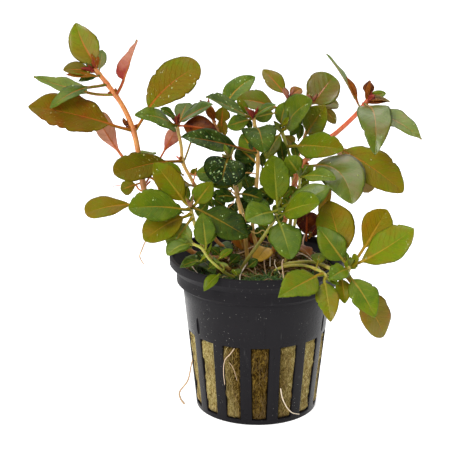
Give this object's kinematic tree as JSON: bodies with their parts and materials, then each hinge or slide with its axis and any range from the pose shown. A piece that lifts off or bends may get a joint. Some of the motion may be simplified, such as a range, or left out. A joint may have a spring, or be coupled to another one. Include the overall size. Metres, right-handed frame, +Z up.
{
  "type": "potted aquarium plant",
  "caption": "Young Ludwigia repens plant, emersed form, with reddish stems and opposite oval leaves, rooted in rock wool in a slotted plastic net pot.",
  "frame": {"origin": "centre of the pot's flat base, on the surface it stands on", "axes": "+Z up along the pot's axis; -Y towards the side that the leaves hang over most; +X to the right of it"},
  "size_m": [0.1177, 0.0734, 0.123],
  "materials": {
    "pot": "dark charcoal moulded plastic, satin",
    "rock_wool": "damp fibrous rock wool",
    "stem": "smooth orange-red to yellow-green skin",
    "leaf_olive": "glossy olive-brown leaf, pink-red underneath",
    "leaf_green": "glossy green leaf with a pale midrib"
  },
  "bodies": {
    "root": {"leaf_back_1": "leaf_olive", "leaf_centre_1": "leaf_green", "leaf_centre_2": "leaf_green", "leaf_centre_4": "leaf_green", "leaf_crown_1": "leaf_green", "leaf_front_1": "leaf_green", "leaf_front_2": "leaf_green", "leaf_front_3": "leaf_green", "leaf_front_4": "leaf_green", "leaf_front_left_1": "leaf_green", "leaf_front_left_2": "leaf_green", "leaf_front_left_3": "leaf_green", "leaf_front_left_4": "leaf_green", "leaf_front_left_5": "leaf_green", "leaf_front_left_6": "leaf_green", "leaf_inner_left_1": "leaf_green", "leaf_inner_left_2": "leaf_green", "leaf_left_1": "leaf_olive", "leaf_left_2": "leaf_olive", "leaf_left_3": "leaf_olive", "leaf_left_4": "leaf_olive", "leaf_left_5": "leaf_olive", "leaf_left_6": "leaf_olive", "leaf_left_7": "leaf_olive", "leaf_left_8": "leaf_olive", "leaf_low_left_1": "leaf_green", "leaf_low_right_1": "leaf_green", "leaf_low_right_2": "leaf_green", "leaf_low_right_3": "leaf_green", "leaf_low_right_4": "leaf_green", "leaf_low_right_5": "leaf_green", "leaf_low_right_6": "leaf_green", "leaf_middle_1": "leaf_green", "leaf_pale_1": "leaf_green", "leaf_pale_2": "leaf_green", "leaf_right_1": "leaf_olive", "leaf_right_2": "leaf_olive", "leaf_right_3": "leaf_olive", "leaf_right_4": "leaf_olive", "leaf_right_5": "leaf_olive", "leaf_rim_1": "leaf_green", "leaf_rim_2": "leaf_green", "leaf_slim_1": "leaf_green", "pot": "pot", "rock_wool": "rock_wool", "stem_back": "stem", "stem_centre": "stem", "stem_crown": "stem", "stem_front": "stem", "stem_front_left": "stem", "stem_inner_left": "stem", "stem_inner_right": "stem", "stem_left": "stem", "stem_low_left": "stem", "stem_low_right": "stem", "stem_middle": "stem", "stem_pale": "stem", "stem_right": "stem", "stem_rim": "stem", "stem_slim": "stem"}
  },
  "joints": []
}
